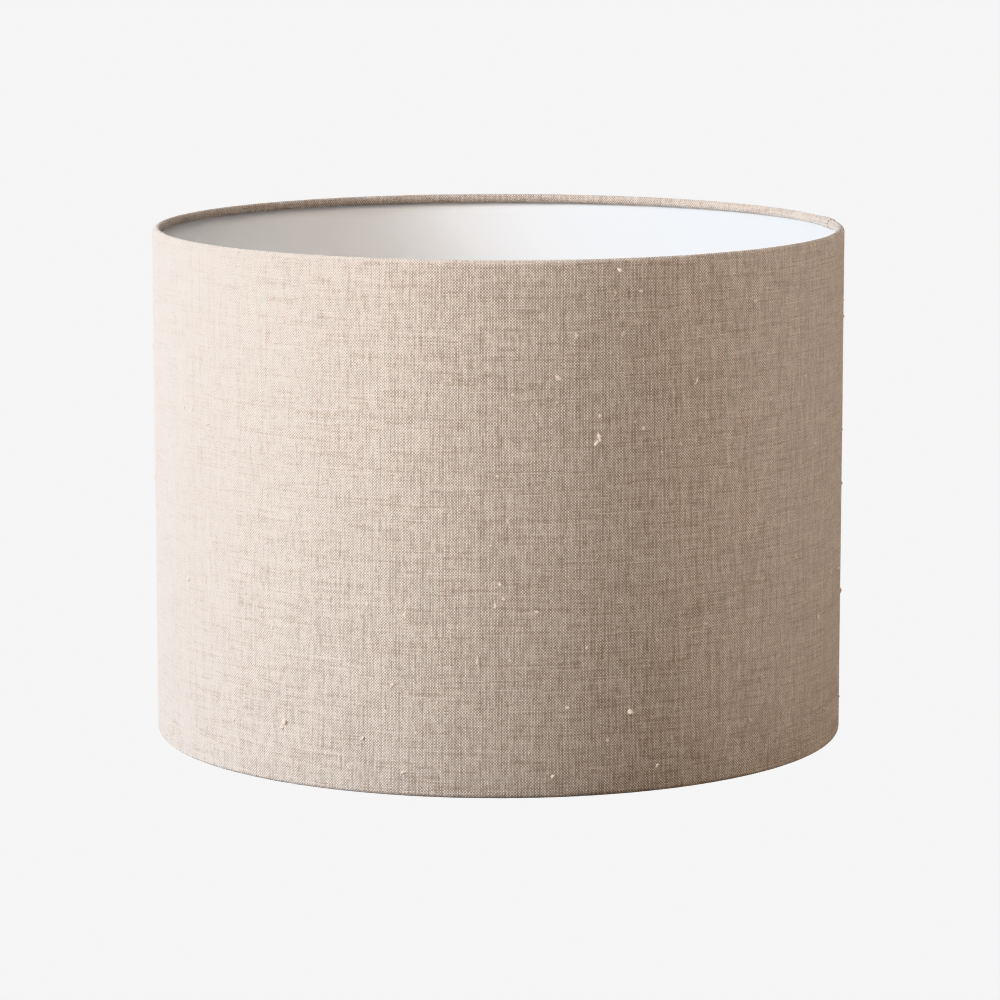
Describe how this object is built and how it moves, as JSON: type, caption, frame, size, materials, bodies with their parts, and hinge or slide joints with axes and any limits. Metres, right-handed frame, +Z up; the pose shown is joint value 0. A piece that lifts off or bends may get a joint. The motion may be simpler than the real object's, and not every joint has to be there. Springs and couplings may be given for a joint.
{
  "type": "lamp shade",
  "caption": "Straight drum lamp shade in linen with rolled edges, white plastic lining, wire rings and a recessed fitter with a lift-out reducer.",
  "frame": {"origin": "centre of the plane that the bottom edge stands on", "axes": "+Z up along the drum's axis, -Y to the front, +X to the right, where the lap seam is just behind the widest line"},
  "size_m": [0.4, 0.4, 0.295],
  "materials": {
    "linen": "natural plain-weave linen, slubbed, matt",
    "lining": "white self-adhesive lampshade panel, satin",
    "adhesive_tape": "milky double-sided tape",
    "ring_wire": "white coated steel wire",
    "fitter_metal": "white epoxy powder coat, semi-gloss",
    "reducer_plastic": "moulded white thermoplastic, satin"
  },
  "bodies": {
    "shade": {"fabric_cover": "linen", "lining_panel": "lining", "seam_tape": "adhesive_tape", "top_ring": "ring_wire", "top_ring_tape": "adhesive_tape", "bottom_ring": "ring_wire", "bottom_ring_tape": "adhesive_tape", "spoke_1": "fitter_metal", "spoke_2": "fitter_metal", "spoke_3": "fitter_metal", "fitter_ring": "fitter_metal"},
    "reducer": {"reducer_ring": "reducer_plastic"}
  },
  "joints": [
    {"name": "reducer_lift", "type": "slide", "parent": "shade", "child": "reducer", "axis": [0, 0, 1], "range_m": [0, 0.27]}
  ]
}
